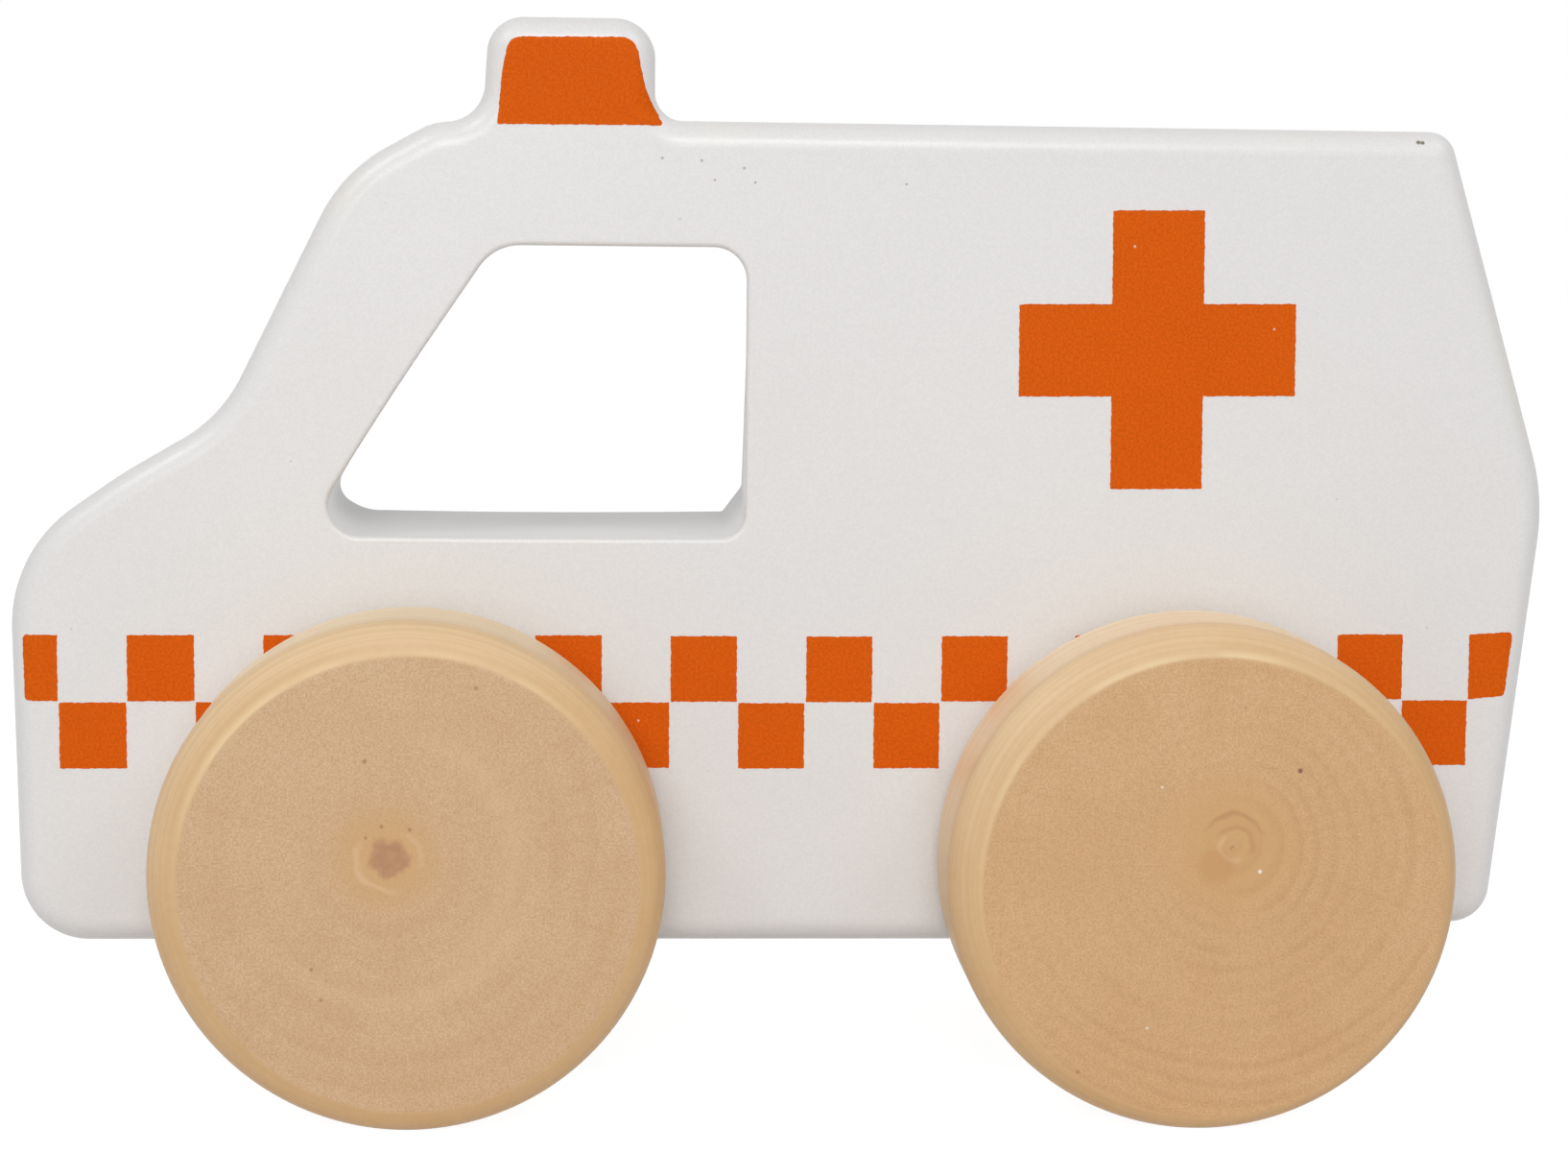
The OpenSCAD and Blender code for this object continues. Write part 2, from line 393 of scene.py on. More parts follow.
class Shader:
    """The nodes of one material or world, written as expressions in millimetres."""

    COLOUR_MIX = {"data_type": "RGBA"}

    def __init__(self, owner: Union[bpy.types.Material, bpy.types.World]) -> None:
        """Start with an empty tree.

        Args:
            owner: The material or world that the nodes belong to.
        """
        owner.use_nodes = True
        self.owner = owner
        self.tree = owner.node_tree
        self.tree.nodes.clear()

    def node(
        self,
        kind: str,
        settings: Mapping[str, object] | None = None,
        inputs: Mapping[Union[str, int], object] | None = None,
        output: Union[str, int] = 0,
    ) -> Value:
        """Add a node.

        Args:
            kind: The node's type.
            settings: Its own settings, set before its sockets.
            inputs: Values or links of its sockets, by name or place.
            output: The output to give back.

        Returns:
            That output as a value.
        """
        made = self.tree.nodes.new(kind)
        for name, setting in (settings or {}).items():
            setattr(made, name, setting)
        for key, given in (inputs or {}).items():
            if isinstance(given, Value):
                self.tree.links.new(given.socket, made.inputs[key])
            else:
                made.inputs[key].default_value = given
        return Value(self, made.outputs[output])

    def vector(self, operation: str, first: Value, second: Union[Value, Triple]) -> Value:
        """One Vector Math node on two vectors."""
        return self.node("ShaderNodeVectorMath", {"operation": operation}, {0: first, 1: second})

    def dot(self, first: Value, second: Union[Value, Triple]) -> Value:
        """Dot product of two vectors."""
        return self.node("ShaderNodeVectorMath", {"operation": "DOT_PRODUCT"}, {0: first, 1: second}, "Value")

    def part(self, vector: Value, axis: str) -> Value:
        """One part of a vector, by the axis's letter."""
        return self.node("ShaderNodeSeparateXYZ", None, {0: vector}, axis)

    def length(self, vector: Value) -> Value:
        """Length of a vector."""
        return self.node("ShaderNodeVectorMath", {"operation": "LENGTH"}, {0: vector}, "Value")

    def mix(self, share: Operand, first: Paint, second: Paint) -> Value:
        """Blend two colours, from the first at share 0 to the second at share 1."""
        return self.node("ShaderNodeMix", self.COLOUR_MIX, {0: share, 6: first, 7: second}, 2)

    def place(self) -> Value:
        """Object coordinates in millimetres."""
        metres = self.node("ShaderNodeTexCoord", output="Object")
        return self.vector("MULTIPLY", metres, (1 / MM, 1 / MM, 1 / MM))

    def attribute(self, name: str) -> Value:
        """A share that the mesh carries at its vertices."""
        return self.node("ShaderNodeAttribute", {"attribute_name": name}, None, "Fac")

    def noise(self, place: Value, pitch: Triple, detail: float = 2.0) -> Value:
        """Smooth noise from 0 to 1.

        Args:
            place: Where to read it.
            pitch: Rough distance between its lumps along each axis.
            detail: How many finer layers are added.

        Returns:
            The noise.
        """
        scaled = self.vector("DIVIDE", place, pitch)
        return self.node("ShaderNodeTexNoise", None, {"Vector": scaled, "Scale": 1.0, "Detail": detail})

    def drift(self, place: Value, pitch: Triple, reach: float) -> Value:
        """A place shifted by smooth noise.

        Args:
            place: The place to shift.
            pitch: Rough distance between the noise's lumps along each axis.
            reach: How far the noise moves a place at most, in each direction, times two.

        Returns:
            The shifted place.
        """
        scaled = self.vector("DIVIDE", place, pitch)
        inputs = {"Vector": scaled, "Scale": 1.0, "Detail": 1.0}
        wander = self.node("ShaderNodeTexNoise", None, inputs, "Color")
        centred = self.vector("SUBTRACT", wander, (0.5, 0.5, 0.5))
        return self.vector("ADD", place, self.vector("MULTIPLY", centred, (reach, reach, reach)))

    def noise_along(self, value: Operand, pitch: float, seed: float, detail: float = 1.0) -> Value:
        """Smooth noise from 0 to 1 along one value.

        Args:
            value: What it varies with.
            pitch: Rough distance between its lumps.
            seed: A number that picks another stretch of the noise.
            detail: How many finer layers are added.

        Returns:
            The noise.
        """
        inputs = {"W": value / pitch + seed, "Scale": 1.0, "Detail": detail}
        return self.node("ShaderNodeTexNoise", {"noise_dimensions": "1D"}, inputs)

    def scattered(self, place: Value, pitch: float, radius: float) -> Value:
        """Small round specks strewn through space, one per cell of the given pitch.

        Args:
            place: Where to read them.
            pitch: Size of a cell.
            radius: Radius of a speck.

        Returns:
            1 in a speck and 0 outside.
        """
        scaled = self.vector("DIVIDE", place, (pitch, pitch, pitch))
        inputs = {"Vector": scaled, "Scale": 1.0}
        distance = self.node("ShaderNodeTexVoronoi", None, inputs, "Distance")
        return distance.eased(1.2 * radius / pitch, 0.6 * radius / pitch)

    def specks(self, place: Value, specks: Sequence[Speck]) -> Value:
        """Marks at given places.

        Args:
            place: Where to read them.
            specks: The marks, at least one.

        Returns:
            1 in a mark and 0 outside, with a soft rim.
        """
        found = None
        for speck in specks:
            away = self.length(self.vector("SUBTRACT", place, (speck.x, speck.y, speck.z)))
            mark = away.eased(1.3 * speck.radius, 0.5 * speck.radius)
            found = mark if found is None else found.larger(mark)
        return found

    def relief(self, height: Value) -> Value:
        """A normal bumped by a height in millimetres."""
        return self.node("ShaderNodeBump", None, {"Strength": 1.0, "Distance": MM, "Height": height})

    def surface(self, kind: str, inputs: Mapping[Union[str, int], object]) -> None:
        """End the tree with one shader node."""
        self.output(self.node(kind, None, inputs))

    def output(self, shaded: Value) -> None:
        """End the tree with a shader that is already made.

        Args:
            shaded: The shader's output.
        """
        world = isinstance(self.owner, bpy.types.World)
        last = self.tree.nodes.new("ShaderNodeOutputWorld" if world else "ShaderNodeOutputMaterial")
        self.tree.links.new(shaded.socket, last.inputs["Surface"])


# Finishes


@dataclass(frozen=True)
class SatinPaint:
    """White satin paint sprayed on wood: faint grain and orange peel, thin warm edges, painted shade on the
    walls of the grip window, a few nibs."""

    white: Colour = srgb(233, 231, 230)
    shade: Colour = srgb(224, 222, 221)
    thin: Colour = srgb(233, 229, 217)
    painted_cut_shade: Colour = srgb(186, 185, 184)
    # Painted shade: the grey that the walls of the grip window are mixed towards.
    nib: Colour = srgb(150, 144, 136)
    dark: Colour = srgb(96, 84, 70)
    roughness: float = 0.28
    mottle_pitch: Triple = (26, 26, 26)
    grain_pitch: Triple = (11, 2.5, 0.32)
    grain_depth: float = 0.009
    peel_pitch: Triple = (0.9, 0.9, 0.9)
    peel_depth: float = 0.004
    peel_roughness: float = 0.08
    dust_pitch: Triple = (0.22, 0.22, 0.22)
    wear_pitch: Triple = (14, 14, 14)
    wear: float = 0.7
    # How strongly the painted shade greys the window walls, and the depth across the board where it is
    # darkest.
    cut_shade_strength: float = 0.5
    darkest_depth: float = 9.0
    stray_nib_pitch: float = 6.0
    stray_nib_radius: float = 0.11
    nibs: tuple[Speck, ...] = (
        Speck(-12.5, -14, 94.3, 0.16),
        Speck(-8.6, -14, 94.1, 0.16),
        Speck(-7.3, -14, 92.2, 0.14),
        Speck(-4.4, -14, 93.4, 0.16),
        Speck(-3.3, -14, 92.0, 0.14),
        Speck(11.7, -14, 92.0, 0.14),
    )
    dark_spots: tuple[Speck, ...] = (Speck(62.95, -13.6, 96.75, 0.26), Speck(63.35, -13.6, 96.7, 0.24))

    def material(self) -> bpy.types.Material:
        """Mix the paint: its white, the worn edges, the painted shade in the window and the nibs.

        Returns:
            The material.
        """
        shader = Shader(bpy.data.materials.new("white_satin_paint"))
        place = shader.place()
        mottle = shader.noise(place, self.mottle_pitch)
        grain = shader.noise(place, self.grain_pitch, 3.0)
        peel = shader.noise(place, self.peel_pitch)
        dust = shader.noise(place, self.dust_pitch).eased(0.35, 0.65)
        worn = shader.attribute("edge") * shader.noise(place, self.wear_pitch).eased(0.5, 0.8)
        colour = shader.mix(0.5 * mottle + 0.5 * dust, self.shade, self.white)
        colour = shader.mix(worn * self.wear, colour, self.thin)
        # Painted shade on the window walls: strongest near darkest_depth, fading out 20 mm away from it.
        deep = abs(shader.part(place, "Y") - self.darkest_depth).eased(20.0, 2.0)
        colour = shader.mix(shader.attribute("inside") * deep * self.cut_shade_strength, colour, self.painted_cut_shade)
        stray = shader.scattered(place, self.stray_nib_pitch, self.stray_nib_radius)
        colour = shader.mix(stray * 0.5, colour, self.nib)
        colour = shader.mix(shader.specks(place, self.nibs) * 0.7, colour, self.nib)
        colour = shader.mix(shader.specks(place, self.dark_spots) * 0.9, colour, self.dark)
        relief = grain * self.grain_depth + peel * self.peel_depth
        shader.surface(
            "ShaderNodeBsdfPrincipled",
            {
                "Base Color": colour,
                "Roughness": self.roughness + self.peel_roughness * peel,
                "Normal": shader.relief(relief),
            },
        )
        return shader.owner


@dataclass(frozen=True)
class ScreenInk:
    """Matt orange ink, printed through a mesh: slightly uneven, with a few pinholes."""

    orange: Colour = srgb(229, 100, 10)
    deep: Colour = srgb(203, 83, 3)
    bare: Colour = srgb(240, 214, 190)
    roughness: float = 0.55
    specular: float = 0.08
    uneven_pitch: Triple = (5.0, 5.0, 5.0)
    mesh_pitch: Triple = (0.26, 0.26, 0.26)
    mesh_share: float = 0.7
    mesh_depth: float = 0.004
    pinholes: tuple[Speck, ...] = (
        Speck(34.6, -14, 86.1, 0.14),
        Speck(48.8, -14, 78.0, 0.12),
        Speck(-14.5, -14, 38.3, 0.13),
    )

    def material(self) -> bpy.types.Material:
        """Mix the ink: two oranges in lumps and in the fine grain of the mesh, and the pinholes.

        Returns:
            The material.
        """
        shader = Shader(bpy.data.materials.new("orange_screen_ink"))
        place = shader.place()
        uneven = shader.noise(place, self.uneven_pitch, 3.0)
        fine = shader.noise(place, self.mesh_pitch).eased(0.3, 0.7)
        share = (1 - self.mesh_share) * uneven + self.mesh_share * fine
        colour = shader.mix(share, self.deep, self.orange)
        colour = shader.mix(shader.specks(place, self.pinholes) * 0.8, colour, self.bare)
        shader.surface(
            "ShaderNodeBsdfPrincipled",
            {
                "Base Color": colour,
                "Roughness": self.roughness + 0.1 * fine,
                "Specular IOR Level": self.specular,
                "Normal": shader.relief(fine * self.mesh_depth),
            },
        )
        return shader.owner


@dataclass(frozen=True)
class Mark:
    """A spot in the wood: its place from the axle along x and z, radius, strength and colour."""

    x: float
    z: float
    radius: float
    strength: float = 0.8
    colour: Colour = srgb(170, 118, 76)


@dataclass(frozen=True)
class RingArc:
    """A stretch of one growth ring: its radius and width, the angle it lies at in degrees, half its spread
    as a cosine, strength and colour."""

    radius: float
    width: float
    angle: float
    reach: float
    strength: float
    colour: Colour


@dataclass(frozen=True)
class FlatFace:
    """The flat part of a wheel's outer face: its radius, and its middle's place from the axle along x
    and z."""

    radius: float
    x: float
    z: float


@dataclass(frozen=True)
class BranchWood:
    """A turned slice of a branch under clear lacquer: faint growth rings about an off-centre pith on the
    flat faces, a warm heart, and golden turning lines round the rim."""

    name: str
    pith: tuple[float, float]
    seed: float
    face: Colour
    face_pale: Colour
    ring_pitch: float
    ring_strength: float
    ring_angle: float
    heart_radius: float
    star_radius: float
    arcs: tuple[RingArc, ...]
    marks: tuple[Mark, ...]
    late: Colour = srgb(184, 138, 88)
    warm: Colour = srgb(204, 160, 104)
    star: Colour = srgb(164, 114, 86)
    round_over: Colour = srgb(216, 179, 133)
    gold: Colour = srgb(206, 165, 114)
    # The rim's own paler side grain, lifted further by painted sheen.
    rim: Colour = srgb(246, 222, 184)
    # Painted highlight along the crease on the lit side, and its strength.
    worn: Colour = srgb(240, 214, 168)
    wear: float = 0.7
    heart_share: float = 0.72
    pore_share: float = 0.46
    fleck_share: float = 0.14
    ray_share: float = 0.12
    arc_fade: float = 0.7
    pore_pitch: Triple = (0.2, 3.0, 0.2)
    fleck_pitch: Triple = (0.7, 6.0, 0.7)
    wander_pitch: Triple = (13, 60, 13)
    wander_reach: float = 2.0
    wriggle_pitch: Triple = (2.6, 60, 2.6)
    wriggle_reach: float = 1.3
    pore_depth: float = 0.004
    line_depth: float = 0.002
    roughness: float = 0.5
    coat: float = 0.2
    burnished: float = 0.45
    coat_roughness: float = 0.36

    def arc_share(self, radius: Value, towards: Value, arc: RingArc) -> Value:
        """How much of an arc's colour shows: a bump across its radius times a fade round its angle.

        Args:
            radius: Distance from the pith.
            towards: Direction from the pith, of length 1.
            arc: The arc.

        Returns:
            The share, from 0 to the arc's strength.
        """
        rise = radius.eased(arc.radius - arc.width, arc.radius)
        fall = radius.eased(arc.radius + arc.width, arc.radius)
        along = self.facing(towards, arc.angle).eased(arc.reach, min(1.0, arc.reach + self.arc_fade))
        return rise * fall * along * arc.strength

    def facing(self, towards: Value, angle: float) -> Value:
        """Cosine between a direction and an angle in degrees, from +x towards +z."""
        turn = math.radians(angle)
        return towards.shader.dot(towards, (math.cos(turn), 0, math.sin(turn)))

    def material(self, x: float, y: float, z: float, flat: FlatFace) -> bpy.types.Material:
        """The wood as a material.

        Rings are read from the distance to the pith line, which runs across the toy, with a little smooth
        wander, and fade in and out round the pith. The pith is a ragged five-pointed spot: its radius swings
        with the cosine of five times the angle. Outside the flat the wood turns to a golden round-over and
        then to the rim. Light is painted on both: they are paler on the upper, lit side, where the crease
        carries a painted highlight and a heavier coat, and the round-over has painted shade on its lower
        side.

        Args:
            x: Place of the wheel's axis along the toy.
            y: Place of the wheel's outer face across the toy.
            z: Height of the wheel's axis.
            flat: The flat part of the outer face.

        Returns:
            The material.
        """
        shader = Shader(bpy.data.materials.new(self.name))
        place = shader.place()
        seeded = shader.vector("ADD", place, (17 * self.seed, 0, 29 * self.seed))
        local = shader.vector("SUBTRACT", place, (x, y, z))
        in_plane = shader.vector("MULTIPLY", local, (1, 0, 1))
        turned = shader.length(in_plane)
        pith = (self.pith[0], 0, self.pith[1])
        plain = shader.vector("MULTIPLY", shader.vector("SUBTRACT", local, pith), (1, 0, 1))
        drifted = shader.drift(seeded, self.wander_pitch, self.wander_reach)
        wander = shader.vector("SUBTRACT", drifted, seeded)
        bent = shader.vector("MULTIPLY", shader.vector("ADD", plain, wander), (1, 0, 1))
        radius = shader.length(bent)
        drifted = shader.drift(seeded, self.wriggle_pitch, self.wriggle_reach)
        wriggle = shader.vector("MULTIPLY", shader.vector("SUBTRACT", drifted, seeded), (1, 0, 1))
        near = shader.length(shader.vector("ADD", plain, wriggle))
        towards = shader.node("ShaderNodeVectorMath", {"operation": "NORMALIZE"}, {0: plain})

        growth = radius / self.ring_pitch + 0.8 * shader.noise_along(radius, 5.0, self.seed)
        phase = growth.fraction()
        vigour = shader.noise_along(growth.whole(), 0.37, 5 * self.seed).eased(0.1, 0.65)
        broken = shader.noise(seeded, (6, 80, 6)).eased(0.26, 0.58)
        strong_side = 0.25 + 0.75 * self.facing(towards, self.ring_angle).eased(-0.9, 0.6)
        ring = phase.eased(0.2, 0.75) * phase.eased(1.0, 0.75) * vigour * broken * strong_side
        clouds = shader.noise(seeded, (8, 90, 8))
        pores = shader.noise(place, self.pore_pitch, 1.0).eased(0.3, 0.7)
        flecks = shader.noise(place, self.fleck_pitch).eased(0.3, 0.7)
        rays = shader.noise(towards, (0.05, 1, 0.05)).eased(0.45, 0.8) * radius.eased(2.0, 9.0)

        face = shader.mix(clouds.eased(0.3, 0.7), self.face, self.face_pale)
        face = shader.mix(self.pore_share * pores + self.fleck_share * flecks, face, self.late)
        heart = radius.eased(self.heart_radius, 0.3 * self.heart_radius)
        face = shader.mix(heart * self.heart_share, face, self.warm)
        face = shader.mix(ring * self.ring_strength + self.ray_share * rays, face, self.late)
        for arc in self.arcs:
            face = shader.mix(self.arc_share(near, towards, arc), face, arc.colour)
        ragged = shader.noise(seeded, (0.8, 9, 0.8), 3.0)
        heights = {0: shader.part(plain, "Z"), 1: shader.part(plain, "X")}
        turn = shader.node("ShaderNodeMath", {"operation": "ARCTAN2"}, heights)
        points = (5 * turn + self.seed).cosine() * (0.08 * self.star_radius)
        outside = near - points + 1.5 * (ragged - 0.5)
        star = outside.eased(1.25 * self.star_radius, 0.7 * self.star_radius) * (0.35 + 0.6 * ragged)
        face = shader.mix(star, face, self.star)
        for mark in self.marks:
            spot = shader.specks(place, (Speck(x + mark.x, y, z + mark.z, mark.radius),))
            face = shader.mix(spot * mark.strength, face, mark.colour)

        depth = shader.part(local, "Y")
        lines = shader.noise_along(turned + 0.7 * abs(depth), 0.5, self.seed, 2.0).eased(0.4, 0.65)
        patchy = shader.noise(seeded, (9, 9, 9)).eased(0.35, 0.65)
        from_flat = shader.vector("SUBTRACT", in_plane, (flat.x, 0, flat.z))
        beyond = shader.length(from_flat) - flat.radius
        # Painted light: from 0 to 1 towards the upper, nose-ward side of the wheel, where the lamps fall.
        lit_side = shader.dot(from_flat, (-0.4 / flat.radius, 0, 0.92 / flat.radius)).eased(0.0, 1.05)
        # Golden turning lines, patches and flecks, plus painted shade: more gold on the lower side, away from
        # the lamps.
        golden = 0.2 * lines + 0.3 * patchy + 0.2 * flecks + 0.3 * (1 - lit_side)
        edge = shader.mix(golden, self.round_over, self.gold)
        # Partly the rim's paler side grain, partly painted light: a painted reflection growing away from the
        # outer face, where the steep rim catches the room, and painted top light on the lit side.
        deep = 0.3 + 0.7 * abs(depth).eased(0.3, 5.5)
        pale = beyond.eased(0.3, 2.4) * deep * (0.1 + 0.9 * lit_side)
        edge = shader.mix(pale * (1 - 0.3 * lines), edge, self.rim)
        # Painted highlight: a pale line along the crease on the lit side only, broken by patches; the coat is
        # heavier there too.
        crest = beyond.eased(-0.3, 0.2) * beyond.eased(1.0, 0.1)
        crease_highlight = crest * lit_side * (0.35 + 0.65 * patchy) * self.wear
        edge = shader.mix(crease_highlight, edge, self.worn)
        shader.surface(
            "ShaderNodeBsdfPrincipled",
            {
                "Base Color": shader.mix(beyond.eased(-0.35, 0.1), face, edge),
                "Roughness": self.roughness + 0.1 * pores,
                "Normal": shader.relief(self.pore_depth * pores + self.line_depth * lines),
                "Coat Weight": self.coat + (self.burnished - self.coat) * crease_highlight,
                "Coat Roughness": self.coat_roughness,
            },
        )
        return shader.owner


@dataclass(frozen=True)
class DowelWood:
    """Bare dowel: straight lengthwise grain across the toy."""

    pale: Colour = srgb(228, 193, 142)
    deep: Colour = srgb(208, 166, 112)
    roughness: float = 0.6
    streak_pitch: Triple = (0.5, 18, 0.5)
    pore_pitch: Triple = (0.15, 1.6, 0.15)
    pore_depth: float = 0.01

    def material(self) -> bpy.types.Material:
        """Mix the dowel wood: streaks and pores along the dowel.

        Returns:
            The material.
        """
        shader = Shader(bpy.data.materials.new("bare_dowel_wood"))
        place = shader.place()
        streaks = shader.noise(place, self.streak_pitch, 3.0)
        pores = shader.noise(place, self.pore_pitch)
        shader.surface(
            "ShaderNodeBsdfPrincipled",
            {
                "Base Color": shader.mix(0.7 * streaks + 0.3 * pores, self.pale, self.deep),
                "Roughness": self.roughness + 0.15 * pores,
                "Normal": shader.relief(self.pore_depth * pores),
            },
        )
        return shader.owner


# Pieces


@dataclass
class Board:
    """The body: a board cut to the ambulance outline, with routed edges, a grip window and axle holes.

    The corners are measured along the board from the nose, and up from the ground.
    """

    toe: Corner = Corner(1.0, 15.6, 6.8)
    belly_break: Corner = Corner(97.0, 15.6, 60.0)
    tail_foot: Corner = Corner(149.6, 17.5, 4.0)
    tail: Corner = Corner(154.4, 61.2, 22.0)
    roof_end: Corner = Corner(143.6, 97.8, 2.8)
    beacon_rear_foot: Corner = Corner(63.9, 98.0, 2.8)
    beacon_rear_top: Corner = Corner(63.9, 108.0, 4.0)
    beacon_front_top: Corner = Corner(47.5, 108.0, 3.6)
    beacon_front_foot: Corner = Corner(46.9, 98.0, 3.9)
    cab_roof: Corner = Corner(41.8, 97.5, 6.0)
    screen_top: Corner = Corner(33.1, 92.7, 16.0)
    cowl: Corner = Corner(21.0, 68.3, 15.0)
    crown: Corner = Corner(11.2, 62.6, 40.0)
    nose: Corner = Corner(0.0, 54.7, 14.5)
    window_left: tuple[Corner, ...] = (
        Corner(31.22, 59.91, 2.95),
        Corner(32.95, 56.7, 2.95),
        Corner(52.0, 56.62, 1500.0),
        Corner(71.7, 56.7, 2.3),
        Corner(73.1, 58.1, 2.3),
        Corner(73.1, 85.6, 3.3),
        Corner(48.1, 85.6, 4.9),
        Corner(38.62, 71.68, 350.0),
    )
    window_right: tuple[Corner, ...] = (
        Corner(30.2, 59.0, 2.2),
        Corner(33.8, 56.95, 5.0),
        Corner(52.0, 56.72, 1000.0),
        Corner(71.85, 57.0, 0.4),
        Corner(73.9, 59.75, 1.2),
        Corner(74.6, 85.6, 2.1),
        Corner(47.3, 85.6, 5.0),
        Corner(38.2, 72.5, 160.0),
    )
    window_steps: tuple[int, ...] = (10, 1, 8, 8, 1, 16, 14, 8, 8)
    edge_radius: float = 2.5
    window_edge_radius: float = 0.5
    bore_radius: float = 4.1
    arc_step: float = 3.0
    side_step: float = 1.5
    edge_steps: int = 10
    flat_margin: float = 0.25
    bore_sides: int = 64
    crease: float = 25.0

    def __post_init__(self) -> None:
        """Lay out the outline and the window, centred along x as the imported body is."""
        low, high = (np.array(corner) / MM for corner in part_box("body"))
        self.half = (high[1] - low[1]) / 2
        corners = (
            self.toe, self.belly_break, self.tail_foot, self.tail, self.roof_end, self.beacon_rear_foot,
            self.beacon_rear_top, self.beacon_front_top, self.beacon_front_foot, self.cab_roof,
            self.screen_top, self.cowl, self.crown, self.nose,
        )
        outline = Loop.rounded(corners, self.arc_step, self.side_step)
        self.middle = (outline.places[:, 0].min() + outline.places[:, 0].max()) / 2
        shift = np.array((self.middle, 0.0))
        self.outline = Loop(outline.places - shift, outline.normals)
        self.windows = []
        for window in (self.window_left, self.window_right):
            hole = Loop.rounded(window, self.arc_step, self.side_step, self.window_steps)
            self.windows.append(Loop(hole.places - shift, hole.normals))
        self.radii = np.full(len(outline.places), self.edge_radius)

    def inset_at(self, places: np.ndarray) -> tuple[np.ndarray, np.ndarray]:
        """Measure how far places lie inside the outline.

        Args:
            places: Places in the plane of the board, one per row.

        Returns:
            The distance along the normal of the nearest outline point, and that point's number.
        """
        gaps = places[:, None, :] - self.outline.places[None, :, :]
        nearest = np.argmin(np.sum(gaps * gaps, axis=2), axis=1)
        step = self.outline.places[nearest] - places
        return np.sum(step * self.outline.normals[nearest], axis=1), nearest

    def drop_at(self, places: np.ndarray) -> np.ndarray:
        """Measure how far the routed edge has dropped below the flat face.

        Within the edge radius r of the outline the drop is r - sqrt(r^2 - (r - inset)^2).

        Args:
            places: Places in the plane of the board, one per row.

        Returns:
            The drop at each place.
        """
        inset, nearest = self.inset_at(places)
        radius = self.radii[nearest]
        short = np.clip(radius - inset, 0, radius)
        return radius - np.sqrt(radius**2 - short**2)

    def kept_in(self, corner: Corner, margin: float, radius: float) -> Corner:
        """Move a corner that lies closer to the outline than the margin inwards, along the outline's normal.

        Args:
            corner: The corner.
            margin: Least distance from the outline.
            radius: Radius of the corner where it is moved.

        Returns:
            The corner, moved and rounded if need be.
        """
        place = np.array([(corner.x, corner.z)])
        inset, nearest = self.inset_at(place)
        if inset[0] >= margin:
            return corner
        x, z = place[0] - self.outline.normals[nearest[0]] * (margin - inset[0])
        return Corner(x, z, radius)

    def wall(self, left: Loop, right: Loop, radii: np.ndarray, sense: int) -> tuple[np.ndarray, np.ndarray]:
        """Carry the edge profile along an outline.

        The profile runs from the left face to the right one: a flat strip, a quarter circle of the edge
        radius, the wall, and the same again in reverse. At angle t of the quarter circle the surface lies
        r * (1 - cos t) below the face and r * (1 - sin t) in from the wall.

        Args:
            left: The outline that the wall follows at the left face.
            right: The outline that it follows at the right face, with as many points.
            radii: Edge radius at each point of the outline.
            sense: 1 for the outside of the board, -1 for the inside of a hole.

        Returns:
            The surface's points, and how much each lies on the rounded edge.
        """
        angles = np.linspace(0, math.pi / 2, self.edge_steps + 1)
        drop = radii[:, None] * (1 - np.cos(angles))
        inset = radii[:, None] * (1 - np.sin(angles))
        margin = np.full((len(radii), 1), self.flat_margin)
        drop = np.hstack([0 * margin, drop, drop[:, -1:] + margin])
        inset = np.hstack([inset[:, :1] + margin, inset, 0 * margin])
        rounded = np.hstack([[0], np.sin(2 * angles), [0]])
        depth = np.hstack([drop - self.half, (self.half - drop)[:, ::-1]])
        halves = [
            loop.places[:, None, :] - sense * share[:, :, None] * loop.normals[:, None, :]
            for loop, share in ((left, inset), (right, inset[:, ::-1]))
        ]
        flat = np.concatenate(halves, axis=1)
        points = np.stack([flat[..., 0], depth, flat[..., 1]], axis=-1)
        return points, np.broadcast_to(np.hstack([rounded, rounded[::-1]]), depth.shape)

    def build(self, material: bpy.types.Material) -> bpy.types.Object:
        """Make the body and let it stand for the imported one.

        Args:
            material: Its paint.

        Returns:
            The body.
        """
        draft = MeshDraft()
        rim = draft.add_points(*self.wall(self.outline, self.outline, self.radii, 1))
        draft.add_grid(rim)
        window_radii = np.full(len(self.windows[0].places), self.window_edge_radius)
        points, rounded = self.wall(*self.windows, window_radii, -1)
        inside = np.zeros(points.shape[1])
        inside[self.edge_steps + 2:-self.edge_steps - 2] = 1
        hole = draft.add_points(points, rounded, inside)
        draft.add_grid(hole, flip=True)
        rings = [rim, hole]
        for joint in frame["joints"]:
            x, _, z = np.array(joint["pos_m"]) / MM
            bore = Loop.circle(x, z, self.bore_radius, self.bore_sides).places
            ends = np.array((-self.half, self.half))
            points = np.stack(np.broadcast_arrays(bore[:, :1], ends, bore[:, 1:]), axis=-1)
            ring = draft.add_points(points)
            draft.add_grid(ring, flip=True)
            rings.append(ring)
        points = np.concatenate(draft.points)
        for column, flip in ((0, False), (-1, True)):
            loops = [ring[:, column] for ring in rings]
            draft.add_faces(self.face(points[:, ::2], loops), flip)
        body = draft.build("painted_body", material, self.crease)
        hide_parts("body")
        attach(body, "body")
        return body

